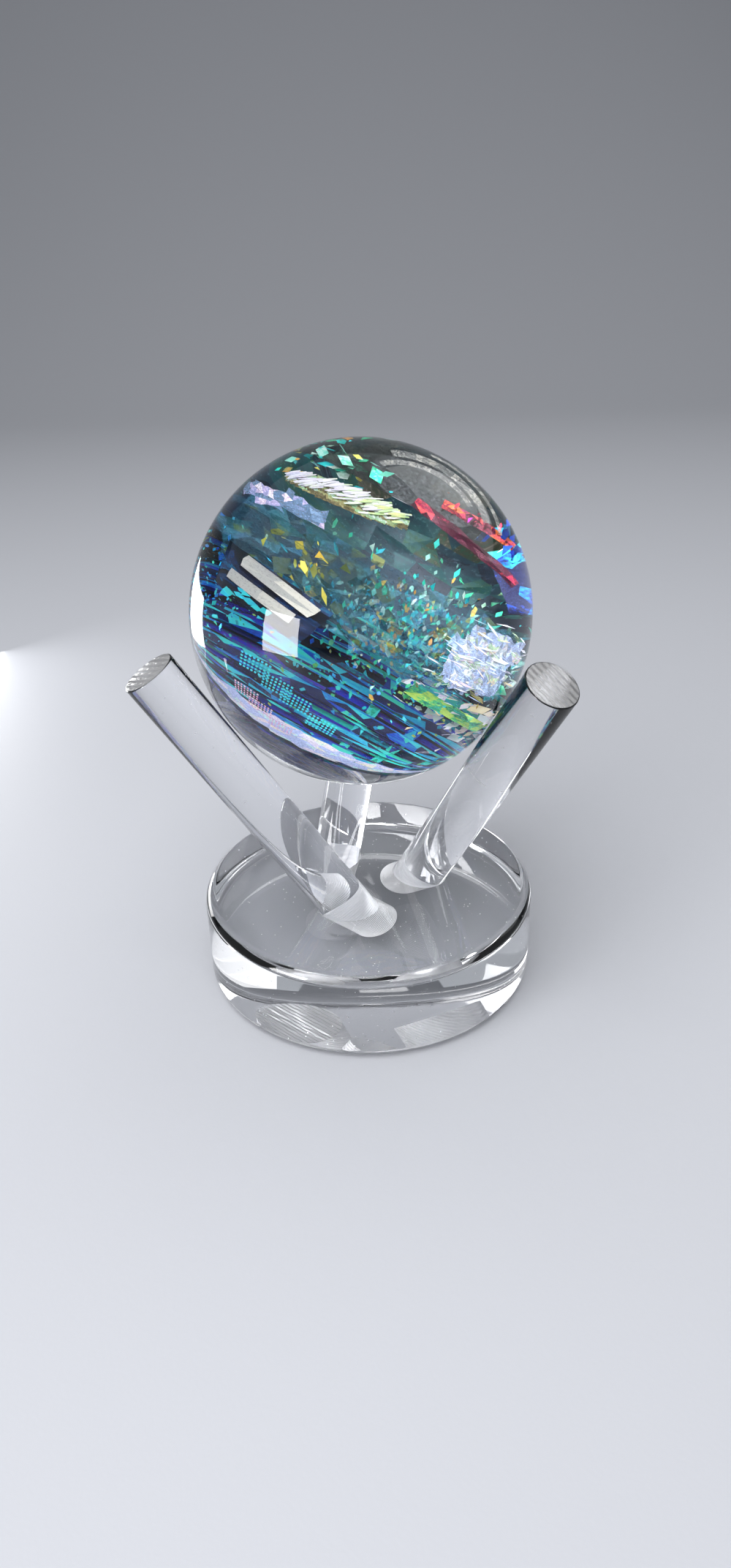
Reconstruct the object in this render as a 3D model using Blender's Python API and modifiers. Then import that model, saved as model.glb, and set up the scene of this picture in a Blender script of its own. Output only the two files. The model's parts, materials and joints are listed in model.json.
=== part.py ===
"""Layered crystal ball resting on a clear acrylic stand with three slanted rods.

The base stands on z = 0 with its centre at the origin, and +Z is up. The ball is a stack of clear
layers, ground round as one, with pieces of colour-shifting film lying between them. Each rod stands
in a slanted blind socket, and the ball rests on the sides of the three rods.
"""

import math
import random

import bmesh
import bpy
from mathutils import Matrix, Vector

MM = 0.001

# Driving dimensions, in metres.
CLEARANCE = 0.3 * MM

BASE_RADIUS = 54 * MM
BASE_HEIGHT = 30 * MM
BASE_RIM_ROUNDING = 3.5 * MM
BASE_SIDES = 96

ROD_RADIUS = 8 * MM
ROD_ABOVE_BASE = 101 * MM
ROD_IN_SOCKET = 16 * MM
ROD_EDGE = 0.4 * MM
ROD_SIDES = 48
ROD_FOOT_RADIUS = 17.5 * MM
ROD_TILT = math.radians(32)
ROD_SKEW = math.radians(-60)
ROD_FOOT_DIRECTIONS = {"rod_left": -112, "rod_right": 8, "rod_back": 128}

BALL_RADIUS = 50 * MM
BALL_SIDES = 64
ARC_STEP = math.radians(6)

LAYER_TILT = math.radians(29)
LAYER_TILT_DIRECTION = math.radians(-26)
LAYER_SPIN = math.radians(13)

FILM_THICKNESS = 0.3 * MM
FILM_STEP = FILM_THICKNESS + CLEARANCE
SINGLE_GAP = FILM_STEP + CLEARANCE
TRIPLE_GAP = 3 * FILM_STEP + CLEARANCE

# Heights of the film planes above the ball's centre, along the layers' normal, and each one's gap.
FEATHER_PLANE = 18 * MM
SMOKY_PLANE = 4 * MM
CHIP_PLANE = -9 * MM
LATTICE_PLANE = -20 * MM
LOW_PLANE = -30 * MM
PLANE_GAPS = {
    FEATHER_PLANE: TRIPLE_GAP,
    SMOKY_PLANE: TRIPLE_GAP,
    CHIP_PLANE: TRIPLE_GAP,
    LATTICE_PLANE: TRIPLE_GAP,
    LOW_PLANE: SINGLE_GAP,
}
LAYER_NAMES = [
    "ball_cap_top",
    "ball_layer_upper",
    "ball_layer_middle",
    "ball_layer_lower",
    "ball_layer_bottom",
    "ball_cap_bottom",
]

FILM_EDGE_MARGIN = 3 * MM
SHEET_EDGE_MARGIN = 1 * MM
LONG_STRIP_WIDTH = 4.4 * MM
LONG_STRIP_PLACES = [-24 * MM, -12 * MM, 0, 12 * MM, 24 * MM]
LOW_STRIP_WIDTH = 4 * MM
LOW_STRIP_PLACES = [-18 * MM, -6 * MM, 6 * MM, 18 * MM]
CROSS_STRIP_WIDTH = 2 * MM
CROSS_STRIP_PLACES = [10 * MM, 18 * MM, 26 * MM, 34 * MM]
CROSS_STRIP_FAR_END = 22 * MM

INDIGO_SHEET_FAR_EDGE = 42 * MM
TEAL_SHEET_NEAR_EDGE = 16 * MM
OLIVE_SHEET_NEAR_EDGE = 14 * MM
SHEET_SIDES = 48

# Rectangular film pieces: name, plane, kind of film, size and middle in mm, and turn in degrees.
FLAT_PIECES = [
    ("film_lavender", FEATHER_PLANE, "lavender", (29, 9), (-28, -4), 0),
    ("film_ribbon_wide", FEATHER_PLANE, "pink", (27, 3), (12, 13), -12),
    ("film_ribbon_narrow", FEATHER_PLANE, "pink", (16, 2.5), (11.5, 19.3), 0),
    ("film_blue_edge", SMOKY_PLANE, "cyan", (15, 6), (20, 26), -48),
    ("film_crumpled", SMOKY_PLANE + FILM_STEP, "pearl", (16, 28), (27, -3), 10),
    ("film_grey_strip_1", SMOKY_PLANE + FILM_STEP, "grey", (20, 6), (-18.5, -14.5), -17),
    ("film_grey_strip_2", SMOKY_PLANE + FILM_STEP, "grey", (19, 5.4), (-22.5, -22.6), -13),
    ("film_navy_patch", SMOKY_PLANE, "indigo", (28, 22), (-21, -20), -12),
    ("film_smoky_sheet", SMOKY_PLANE - FILM_STEP, "smoky", (78, 40), (1, -2), 0),
]

SMALL_CHIP = 2.4 * MM
LARGE_CHIP = 3.4 * MM
SMALLEST_CHIP_SHARE = 0.6
CHIP_JITTER = 0.5 * MM
CHIP_SEED = 5
# Each field of chips: rows, columns, largest radius, middle in its plane, plane and kind of film.
CHIP_FIELDS = {
    "film_green_chip": (1, 4, SMALL_CHIP, (-19 * MM, 17 * MM), FEATHER_PLANE, "green"),
    "film_gold_chip": (1, 4, SMALL_CHIP, (-17 * MM, -17 * MM), FEATHER_PLANE, "gold"),
    "film_bright_chip": (3, 4, SMALL_CHIP, (16 * MM, 16 * MM), CHIP_PLANE, "green"),
    "film_olive_chip": (2, 2, LARGE_CHIP, (-5 * MM, 18 * MM), CHIP_PLANE, "gold"),
}


def clear_scene():
    for obj in list(bpy.data.objects):
        bpy.data.objects.remove(obj, do_unlink=True)


def new_collection(name):
    collection = bpy.data.collections.new(name)
    bpy.context.scene.collection.children.link(collection)
    return collection


def new_material(name, colour, roughness, metallic=0.0, alpha=1.0):
    material = bpy.data.materials.new(name)
    material.use_nodes = True
    shader = material.node_tree.nodes["Principled BSDF"]
    shader.inputs["Base Color"].default_value = (*colour, 1.0)
    shader.inputs["Roughness"].default_value = roughness
    shader.inputs["Metallic"].default_value = metallic
    shader.inputs["Alpha"].default_value = alpha
    return material


def move_to(obj, collection):
    for owner in list(obj.users_collection):
        owner.objects.unlink(obj)
    collection.objects.link(obj)


def new_empty(name, matrix, collection):
    empty = bpy.data.objects.new(name, None)
    empty.matrix_world = matrix
    empty.empty_display_size = 10 * MM
    collection.objects.link(empty)
    return empty


def adopt(child, parent, matrix_in_parent):
    child.parent = parent
    child.matrix_parent_inverse = Matrix.Identity(4)
    child.matrix_basis = matrix_in_parent


def shade_round(obj):
    obj.data.shade_smooth()
    obj.data.set_sharp_from_angle(angle=math.radians(40))


def new_cylinder(name, radius, low, high, sides, collection, material=None):
    """A round bar along its own Z axis, from low to high."""
    bpy.ops.mesh.primitive_cylinder_add(vertices=sides, radius=radius, depth=high - low)
    obj = bpy.context.object
    obj.name = name
    obj.data.name = name
    obj.data.transform(Matrix.Translation((0, 0, (low + high) / 2)))
    move_to(obj, collection)
    if material:
        obj.data.materials.append(material)
    return obj


def add_bevel(obj, width, segments):
    bevel = obj.modifiers.new("rounded_edges", "BEVEL")
    bevel.width = width
    bevel.segments = segments
    bevel.limit_method = "ANGLE"
    bevel.angle_limit = math.radians(60)


def rod_frame(foot_degrees):
    """The frame at a rod's foot on the base's top face, with its Z axis along the rod."""
    foot = math.radians(foot_degrees)
    place = Vector((ROD_FOOT_RADIUS * math.cos(foot), ROD_FOOT_RADIUS * math.sin(foot), BASE_HEIGHT))
    lean = Matrix.Rotation(foot + ROD_SKEW, 4, "Z") @ Matrix.Rotation(ROD_TILT, 4, "Y")
    return Matrix.Translation(place) @ lean


def ball_height():
    """Height at which the ball, with its clearance, touches the sides of the three rods.

    The rod's line passes the point at height h on the stand's axis at a distance d, where
    d^2 = h^2 + foot^2 - (h cos(tilt) - foot sin(tilt) cos(skew))^2.
    """
    reach = BALL_RADIUS + ROD_RADIUS + CLEARANCE
    shift = ROD_FOOT_RADIUS * math.sin(ROD_TILT) * math.cos(ROD_SKEW)
    a = math.sin(ROD_TILT) ** 2
    b = 2 * math.cos(ROD_TILT) * shift
    c = ROD_FOOT_RADIUS**2 - shift**2 - reach**2
    return BASE_HEIGHT + (-b + math.sqrt(b * b - 4 * a * c)) / (2 * a)


def make_stand(parts, cutters, clear_acrylic):
    base = new_cylinder("base_disc", BASE_RADIUS, 0, BASE_HEIGHT, BASE_SIDES, parts, clear_acrylic)
    add_bevel(base, BASE_RIM_ROUNDING, 5)
    for name, foot_degrees in ROD_FOOT_DIRECTIONS.items():
        axis = new_empty(name + "_axis", rod_frame(foot_degrees), parts)

        cutter = new_cylinder(
            name + "_socket_cutter",
            ROD_RADIUS + CLEARANCE,
            -ROD_IN_SOCKET - CLEARANCE,
            2 * ROD_RADIUS,
            ROD_SIDES,
            cutters,
        )
        cutter.hide_render = True
        cutter.display_type = "WIRE"
        adopt(cutter, axis, Matrix.Identity(4))

        socket = base.modifiers.new(name + "_socket", "BOOLEAN")
        socket.operation = "DIFFERENCE"
        socket.object = cutter

        rod = new_cylinder(
            name, ROD_RADIUS, -ROD_IN_SOCKET, ROD_ABOVE_BASE, ROD_SIDES, parts, clear_acrylic
        )
        add_bevel(rod, ROD_EDGE, 2)
        adopt(rod, axis, Matrix.Identity(4))
        shade_round(rod)
    shade_round(base)


def make_layer(name, low, high, parts, centre, clear_resin):
    """One clear layer: a zone of the ball between two parallel planes, turned about their normal."""
    start = math.acos(min(high / BALL_RADIUS, 1))
    end = math.acos(max(low / BALL_RADIUS, -1))
    steps = max(2, round((end - start) / ARC_STEP))
    arc = [start + (end - start) * i / steps for i in range(steps + 1)]
    profile = [(BALL_RADIUS * math.sin(a), BALL_RADIUS * math.cos(a)) for a in arc]
    if high < BALL_RADIUS:
        profile.insert(0, (0, high))
    if low > -BALL_RADIUS:
        profile.append((0, low))

    mesh = bpy.data.meshes.new(name)
    outline = bmesh.new()
    points = [outline.verts.new((x, 0, z)) for x, z in profile]
    for first, second in zip(points, points[1:]):
        outline.edges.new((first, second))
    outline.to_mesh(mesh)
    outline.free()
    mesh.materials.append(clear_resin)

    layer = bpy.data.objects.new(name, mesh)
    parts.objects.link(layer)
    turn = layer.modifiers.new("turned", "SCREW")
    turn.steps = BALL_SIDES
    turn.render_steps = BALL_SIDES
    turn.use_merge_vertices = True
    turn.merge_threshold = 0.01 * MM
    turn.use_smooth_shade = True
    adopt(layer, centre, Matrix.Identity(4))


def new_film(name, outline, height, parts, centre, material):
    """A film piece as one thin closed body, from bmesh geometry in its plane."""
    mesh = bpy.data.meshes.new(name)
    outline.to_mesh(mesh)
    outline.free()
    mesh.materials.append(material)
    film = bpy.data.objects.new(name, mesh)
    parts.objects.link(film)
    adopt(film, centre, Matrix.Translation((0, 0, height)))


def rectangle(length, width, place, turn=0):
    """A thin rectangular film piece, its length along X unless it is turned by some degrees."""
    shape = bmesh.new()
    matrix = (
        Matrix.Translation(place)
        @ Matrix.Rotation(math.radians(turn), 4, "Z")
        @ Matrix.Diagonal((length, width, FILM_THICKNESS, 1))
    )
    bmesh.ops.create_cube(shape, size=1, matrix=matrix)
    return shape


def leaf_edge(along, width):
    """Half the width of a blunt leaf at a share of its length, from 0 to 1."""
    return width / 2 * math.sin(math.pi * (0.08 + 0.84 * along)) ** 0.6


def feather(length, width, place, barbs):
    """A feather-like flake: a flat leaf with one smooth edge and one edge cut into barbs."""
    smooth_edge = [(i / barbs, -leaf_edge(i / barbs, width)) for i in range(barbs + 1)]
    cut_edge = []
    for i in range(barbs):
        tip, notch = i / barbs, (i + 0.6) / barbs
        cut_edge.append((tip, leaf_edge(tip, width)))
        cut_edge.append((notch, 0.76 * leaf_edge(notch, width)))
    cut_edge.append((1, leaf_edge(1, width)))

    shape = bmesh.new()
    outline = smooth_edge + cut_edge[::-1]
    corners = [shape.verts.new((length * (x - 0.5), y, -FILM_THICKNESS / 2)) for x, y in outline]
    face = shape.faces.new(corners)
    raised = bmesh.ops.extrude_face_region(shape, geom=[face])["geom"]
    top = [item for item in raised if isinstance(item, bmesh.types.BMVert)]
    bmesh.ops.translate(shape, verts=top, vec=(0, 0, FILM_THICKNESS))
    bmesh.ops.recalc_face_normals(shape, faces=shape.faces)
    bmesh.ops.translate(shape, verts=shape.verts, vec=place)
    return shape


def chip(place, sides, radius, turn):
    """One loose film chip with a few straight sides."""
    shape = bmesh.new()
    bmesh.ops.create_cone(
        shape,
        cap_ends=True,
        segments=sides,
        radius1=radius,
        radius2=radius,
        depth=FILM_THICKNESS,
        matrix=Matrix.Translation(place) @ Matrix.Rotation(turn, 4, "Z"),
    )
    return shape


def chip_field(rows, columns, largest, middle, seed):
    """Chips on a jittered grid about a point in their plane, spaced so that none overlap."""
    dice = random.Random(seed)
    pitch = 2 * (largest + CHIP_JITTER) + CLEARANCE
    for row in range(rows):
        for column in range(columns):
            x = middle[0] + (column - (columns - 1) / 2) * pitch + dice.uniform(-1, 1) * CHIP_JITTER
            y = middle[1] + (row - (rows - 1) / 2) * pitch + dice.uniform(-1, 1) * CHIP_JITTER
            sides = dice.choice((3, 4, 5))
            radius = largest * dice.uniform(SMALLEST_CHIP_SHARE, 1)
            yield chip((x, y, 0), sides, radius, dice.uniform(0, math.tau))


def cut_disc(radius, edge, kept_side):
    """A round film sheet cut along a straight edge. The kept side is -1 for near, 1 for far."""
    shape = bmesh.new()
    bmesh.ops.create_cone(
        shape,
        cap_ends=True,
        segments=SHEET_SIDES,
        radius1=radius,
        radius2=radius,
        depth=FILM_THICKNESS,
    )
    cut = bmesh.ops.bisect_plane(
        shape,
        geom=shape.verts[:] + shape.edges[:] + shape.faces[:],
        plane_co=(0, edge, 0),
        plane_no=(0, -kept_side, 0),
        clear_outer=True,
    )
    rim = [item for item in cut["geom_cut"] if isinstance(item, bmesh.types.BMEdge)]
    bmesh.ops.holes_fill(shape, edges=rim)
    bmesh.ops.recalc_face_normals(shape, faces=shape.faces)
    return shape


def half_chord(plane, offset, margin=FILM_EDGE_MARGIN):
    """Half the length that fits across the ball in a film plane, at an offset from its middle."""
    return math.sqrt(BALL_RADIUS**2 - plane**2 - offset**2) - margin


def make_films(parts, centre, film):
    def lay(name, outline, height, kind):
        new_film(name, outline, height, parts, centre, film[kind])

    lay("film_feather", feather(28 * MM, 8 * MM, (-14 * MM, 6.5 * MM, 0), 12), FEATHER_PLANE, "pearl")
    for name, plane, kind, size, middle, turn in FLAT_PIECES:
        outline = rectangle(size[0] * MM, size[1] * MM, (middle[0] * MM, middle[1] * MM, 0), turn)
        lay(name, outline, plane, kind)

    reach = half_chord(CHIP_PLANE, 0, SHEET_EDGE_MARGIN)
    sheet = cut_disc(reach, TEAL_SHEET_NEAR_EDGE, 1)
    lay("film_teal_sheet", sheet, CHIP_PLANE - FILM_STEP, "teal")
    reach = half_chord(FEATHER_PLANE, 0, SHEET_EDGE_MARGIN)
    sheet = cut_disc(reach, OLIVE_SHEET_NEAR_EDGE, 1)
    lay("film_olive_sheet", sheet, FEATHER_PLANE - FILM_STEP, "smoky")
    for name, (rows, columns, largest, middle, plane, kind) in CHIP_FIELDS.items():
        field = chip_field(rows, columns, largest, middle, CHIP_SEED)
        for number, outline in enumerate(field, 1):
            lay(f"{name}_{number}", outline, plane, kind)

    for number, offset in enumerate(LONG_STRIP_PLACES, 1):
        reach = half_chord(LATTICE_PLANE, abs(offset) + LONG_STRIP_WIDTH / 2)
        strip = rectangle(2 * reach, LONG_STRIP_WIDTH, (0, offset, 0))
        lay(f"film_long_strip_{number}", strip, LATTICE_PLANE + FILM_STEP, "cyan")
    for number, offset in enumerate(CROSS_STRIP_PLACES, 1):
        near = -half_chord(LATTICE_PLANE, offset + CROSS_STRIP_WIDTH / 2)
        far = min(CROSS_STRIP_FAR_END, -near)
        strip = rectangle(CROSS_STRIP_WIDTH, far - near, (offset, (near + far) / 2, 0))
        lay(f"film_cross_strip_{number}", strip, LATTICE_PLANE, "cyan")
    reach = half_chord(LATTICE_PLANE, 0, SHEET_EDGE_MARGIN)
    sheet = cut_disc(reach, INDIGO_SHEET_FAR_EDGE, -1)
    lay("film_indigo_sheet", sheet, LATTICE_PLANE - FILM_STEP, "indigo")
    for number, offset in enumerate(LOW_STRIP_PLACES, 1):
        reach = half_chord(LOW_PLANE, abs(offset) + LOW_STRIP_WIDTH / 2)
        strip = rectangle(2 * reach, LOW_STRIP_WIDTH, (0, offset, 0))
        lay(f"film_low_strip_{number}", strip, LOW_PLANE, "violet")


def make_ball(parts, clear_resin, film):
    turn = (
        Matrix.Rotation(LAYER_TILT_DIRECTION, 4, "Z")
        @ Matrix.Rotation(LAYER_TILT, 4, "Y")
        @ Matrix.Rotation(LAYER_SPIN, 4, "Z")
    )
    centre = new_empty("ball_centre", Matrix.Translation((0, 0, ball_height())) @ turn, parts)
    tops = [BALL_RADIUS] + [plane - gap / 2 for plane, gap in PLANE_GAPS.items()]
    bottoms = [plane + gap / 2 for plane, gap in PLANE_GAPS.items()] + [-BALL_RADIUS]
    for name, high, low in zip(LAYER_NAMES, tops, bottoms):
        make_layer(name, low, high, parts, centre, clear_resin)
    make_films(parts, centre, film)


def main():
    clear_scene()
    parts = new_collection("crystal_ball_on_stand")
    cutters = new_collection("cutters")
    clear_acrylic = new_material("clear_acrylic", (0.93, 0.94, 0.97), 0.04, alpha=0.3)
    clear_resin = new_material("clear_resin", (0.90, 0.95, 0.97), 0.02, alpha=0.25)
    film = {
        "cyan": new_material("cyan_film", (0.03, 0.62, 0.72), 0.12, 0.8),
        "indigo": new_material("indigo_film", (0.03, 0.04, 0.30), 0.15, 0.7),
        "violet": new_material("violet_film", (0.10, 0.08, 0.60), 0.12, 0.8),
        "green": new_material("green_film", (0.06, 0.62, 0.36), 0.12, 0.8),
        "gold": new_material("gold_film", (0.52, 0.48, 0.12), 0.15, 0.8),
        "pink": new_material("pink_film", (0.85, 0.16, 0.30), 0.12, 0.8),
        "lavender": new_material("lavender_film", (0.62, 0.60, 0.82), 0.2, 0.5),
        "pearl": new_material("pearl_film", (0.86, 0.88, 0.84), 0.2, 0.5),
        "smoky": new_material("smoky_film", (0.12, 0.30, 0.36), 0.2, 0.4, alpha=0.5),
        "teal": new_material("teal_film", (0.02, 0.10, 0.13), 0.15, 0.6),
        "grey": new_material("grey_film", (0.45, 0.43, 0.38), 0.2, 0.4),
    }
    make_stand(parts, cutters, clear_acrylic)
    make_ball(parts, clear_resin, film)


main()
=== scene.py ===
"""Layered crystal ball on its three-rod acrylic stand: the finished pieces and the stage."""

import functools
import json
import math
import random
from typing import NamedTuple

import bmesh
import bpy
from mathutils import Matrix, Vector, noise


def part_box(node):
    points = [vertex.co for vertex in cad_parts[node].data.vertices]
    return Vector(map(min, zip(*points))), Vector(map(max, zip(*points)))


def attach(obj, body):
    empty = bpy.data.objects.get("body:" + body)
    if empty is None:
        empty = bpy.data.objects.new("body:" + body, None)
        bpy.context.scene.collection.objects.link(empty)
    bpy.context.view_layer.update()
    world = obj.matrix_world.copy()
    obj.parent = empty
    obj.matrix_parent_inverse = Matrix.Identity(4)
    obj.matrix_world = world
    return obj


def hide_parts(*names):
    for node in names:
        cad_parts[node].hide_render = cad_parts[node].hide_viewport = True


bl_info = {
    "name": "Layered Crystal Ball",
    "version": (1, 0, 0),
    "blender": (4, 5, 0),
    "location": "View3D > Sidebar > Crystal Ball",
    "description": "Makes the finished pieces of a layered crystal ball and its acrylic stand",
    "category": "Object",
}

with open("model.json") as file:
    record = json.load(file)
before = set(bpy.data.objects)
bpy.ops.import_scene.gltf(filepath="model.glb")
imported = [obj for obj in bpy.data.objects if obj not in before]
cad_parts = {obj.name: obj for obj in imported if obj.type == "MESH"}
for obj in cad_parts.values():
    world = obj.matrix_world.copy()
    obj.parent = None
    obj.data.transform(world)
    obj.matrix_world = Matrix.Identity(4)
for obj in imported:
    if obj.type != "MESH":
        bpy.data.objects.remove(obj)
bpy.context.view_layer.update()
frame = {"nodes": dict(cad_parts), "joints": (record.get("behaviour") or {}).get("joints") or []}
MM = 0.001

BALL_LAYERS = (
    "ball_cap_top",
    "ball_layer_upper",
    "ball_layer_middle",
    "ball_layer_lower",
    "ball_layer_bottom",
    "ball_cap_bottom",
)
RODS = ["rod_left", "rod_right", "rod_back"]

# Heights of the film planes above the ball's centre, along the layers' normal.
FEATHER_PLANE = 18 * MM
CHIP_PLANE = -9 * MM
LATTICE_PLANE = -20 * MM
LOW_PLANE = -30 * MM
FILM_STEP = 0.6 * MM
# How far a round sheet's edge stays inside the ball's surface, and a loose chip's middle.
SHEET_INSET = 1 * MM
CHIP_INSET = 3 * MM
SHARP_ANGLE = math.radians(35)

# Each film's colours: where one stands on the scale of its tint, from 0 to 1, and then its red,
# green and blue.
PALETTES = {
    "cyan": [
        (0.0, 0.004, 0.012, 0.12), (0.14, 0.004, 0.1, 0.78), (0.3, 0.01, 0.54, 0.92),
        (0.46, 0.06, 0.86, 0.96), (0.6, 0.04, 0.86, 0.64), (0.72, 0.0, 0.38, 0.26),
        (0.84, 0.1, 0.72, 0.22), (0.94, 0.56, 0.82, 0.12),
    ],
    "indigo": [
        (0.0, 0.002, 0.003, 0.03), (0.26, 0.004, 0.014, 0.12), (0.4, 0.03, 0.01, 0.56),
        (0.52, 0.004, 0.06, 0.82), (0.62, 0.11, 0.01, 0.48), (0.72, 0.0, 0.18, 0.42),
        (0.84, 0.0, 0.56, 0.7), (0.95, 0.01, 0.78, 0.64),
    ],
    "violet": [
        (0.0, 0.12, 0.18, 0.76), (0.22, 0.48, 0.56, 0.92), (0.42, 0.72, 0.56, 0.86),
        (0.6, 0.84, 0.86, 0.96), (0.76, 0.86, 0.36, 0.62), (0.9, 0.2, 0.72, 0.9),
    ],
    "shell": [
        (0.0, 0.48, 0.56, 0.94), (0.2, 0.86, 0.74, 0.96), (0.45, 0.94, 0.94, 0.98),
        (0.62, 0.96, 0.64, 0.8), (0.78, 0.42, 0.9, 0.96), (0.93, 0.98, 0.9, 0.78),
    ],
    "green": [
        (0.0, 0.0, 0.3, 0.42), (0.2, 0.0, 0.64, 0.68), (0.38, 0.02, 0.7, 0.3),
        (0.54, 0.3, 0.86, 0.72), (0.68, 0.82, 0.96, 0.92), (0.8, 0.04, 0.3, 0.12),
        (0.9, 0.94, 0.36, 0.06), (0.97, 0.86, 0.82, 0.16),
    ],
    "gold": [
        (0.0, 0.02, 0.034, 0.012), (0.35, 0.09, 0.13, 0.03), (0.6, 0.24, 0.26, 0.05),
        (0.8, 0.64, 0.56, 0.08), (0.94, 0.98, 0.64, 0.08),
    ],
    "pink": [
        (0.0, 0.1, 0.006, 0.03), (0.35, 0.52, 0.02, 0.09), (0.62, 0.8, 0.08, 0.08),
        (0.82, 0.94, 0.24, 0.02), (0.95, 0.62, 0.01, 0.56),
    ],
    "lavender": [
        (0.0, 0.16, 0.26, 0.42), (0.3, 0.36, 0.38, 0.66), (0.58, 0.56, 0.48, 0.76),
        (0.8, 0.78, 0.62, 0.78), (0.94, 0.88, 0.82, 0.9),
    ],
    "pearl": [
        (0.0, 0.44, 0.54, 0.82), (0.16, 0.64, 0.76, 0.88), (0.34, 0.82, 0.82, 0.84),
        (0.52, 0.76, 0.7, 0.86), (0.66, 0.52, 0.78, 0.42), (0.8, 0.7, 0.56, 0.84),
        (0.93, 0.86, 0.7, 0.42),
    ],
    "barb": [
        (0.0, 0.36, 0.38, 0.56), (0.24, 0.64, 0.64, 0.68), (0.44, 0.56, 0.52, 0.64),
        (0.58, 0.62, 0.66, 0.56), (0.74, 0.38, 0.56, 0.26), (0.9, 0.62, 0.56, 0.26),
    ],
    "opal": [
        (0.0, 0.12, 0.1, 0.04), (0.22, 0.3, 0.27, 0.11), (0.42, 0.22, 0.42, 0.22),
        (0.62, 0.44, 0.54, 0.48), (0.85, 0.62, 0.62, 0.66),
    ],
    "smoky": [
        (0.0, 0.008, 0.1, 0.18), (0.35, 0.024, 0.24, 0.38), (0.62, 0.08, 0.42, 0.52),
        (0.8, 0.06, 0.28, 0.66), (0.93, 0.2, 0.32, 0.06),
    ],
    "teal": [
        (0.0, 0.004, 0.02, 0.05), (0.3, 0.006, 0.06, 0.09), (0.55, 0.01, 0.12, 0.13),
        (0.72, 0.016, 0.11, 0.06), (0.86, 0.05, 0.06, 0.026), (0.97, 0.13, 0.12, 0.085),
    ],
    "olive": [
        (0.0, 0.003, 0.01, 0.012), (0.35, 0.018, 0.026, 0.022), (0.65, 0.07, 0.072, 0.048),
        (0.85, 0.14, 0.135, 0.1), (1.0, 0.3, 0.29, 0.25),
    ],
    "navy": [
        (0.0, 0.002, 0.003, 0.016), (0.4, 0.004, 0.014, 0.08), (0.62, 0.004, 0.06, 0.2),
        (0.8, 0.002, 0.18, 0.34), (0.94, 0.02, 0.42, 0.56),
    ],
    "grey": [
        (0.0, 0.36, 0.36, 0.35), (0.5, 0.6, 0.58, 0.52), (1.0, 0.76, 0.74, 0.68),
    ],
}


def length_setting(name, description, default):
    return bpy.props.FloatProperty(
        name=name, description=description, default=default, subtype="DISTANCE", unit="LENGTH"
    )


def angle_setting(name, description, degrees):
    return bpy.props.FloatProperty(
        name=name, description=description, default=math.radians(degrees), subtype="ANGLE"
    )


def colour_setting(name, description, default):
    return bpy.props.FloatVectorProperty(
        name=name, description=description, default=default, subtype="COLOR", size=3
    )


class BallSettings(bpy.types.PropertyGroup):
    """Sizes of the ball and of the film in it."""

    layer_tilt: angle_setting("Layer tilt", "Angle from the vertical to the layers' normal", 29)
    layer_direction: angle_setting(
        "Tilt direction", "Direction in which the layers' normal leans", -26
    )
    layer_spin: angle_setting("Layer spin", "Turn of the film strips within their plane", 13)
    film_thickness: length_setting("Film thickness", "Thickness of a film piece", 0.06 * MM)
    refraction: bpy.props.FloatProperty(
        name="Refraction",
        description="Refractive index of the clear resin",
        default=1.49,
    )


class StandSettings(bpy.types.PropertyGroup):
    """Sizes of the stand's finished edges."""

    rim_rounding: length_setting("Rim rounding", "Radius of the base's polished rims", 3.5 * MM)
    rod_edge: length_setting("Rod edge", "Width of the broken edge at a rod's ends", 0.35 * MM)
    acrylic: colour_setting("Acrylic", "Faint tint of the clear acrylic", (0.975, 0.98, 0.995))


class StageSettings(bpy.types.PropertyGroup):
    """The floor, the light and the camera."""

    floor_colour: colour_setting("Floor", "Colour of the floor", (0.205, 0.21, 0.226))
    surroundings: colour_setting(
        "Surroundings", "Colour of the light that comes from all round", (0.36, 0.38, 0.41)
    )
    camera_distance: length_setting(
        "Camera distance",
        "Distance from the camera to the stand's axis, measured along the floor",
        0.3068,
    )
    camera_height: length_setting(
        "Camera height", "Height of the camera above the surface that the stand rests on", 0.2326
    )
    camera_pitch: angle_setting("Camera pitch", "Angle by which the camera looks down", 28.55)
    camera_roll: angle_setting("Camera roll", "Turn of the camera about its line of sight", 1.52)
    camera_lens: bpy.props.FloatProperty(
        name="Lens",
        description="Focal length of the camera",
        default=25.2,
        subtype="DISTANCE_CAMERA",
        unit="CAMERA",
    )


# Places and frames


@functools.cache
def middle_of(nodes):
    """The middle and the size of the box around some CAD nodes."""
    corners = [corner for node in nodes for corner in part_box(node)]
    low = Vector(min(c[axis] for c in corners) for axis in range(3))
    high = Vector(max(c[axis] for c in corners) for axis in range(3))
    return (low + high) / 2, high - low


def ball_radius():
    return middle_of(BALL_LAYERS)[1].z / 2


def layer_frame():
    """The ball's own frame: its Z axis is the layers' normal, and the strips run along X."""
    ball = bpy.context.scene.crystal_ball
    turn = (
        Matrix.Rotation(ball.layer_direction, 4, "Z")
        @ Matrix.Rotation(ball.layer_tilt, 4, "Y")
        @ Matrix.Rotation(ball.layer_spin, 4, "Z")
    )
    return Matrix.Translation(middle_of(BALL_LAYERS)[0]) @ turn


def rod_frame(name):
    """The frame at a rod's middle, its Z axis along the rod, and the rod's length."""
    axis = next(Vector(j["axis"]) for j in frame["joints"] if j["child"] == name)
    centre = middle_of((name,))[0]
    ends = [(v.co - centre).dot(axis) for v in frame["nodes"][name].data.vertices]
    turn = Vector((0, 0, 1)).rotation_difference(axis).to_matrix().to_4x4()
    return Matrix.Translation(centre) @ turn, max(ends) - min(ends)


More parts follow.
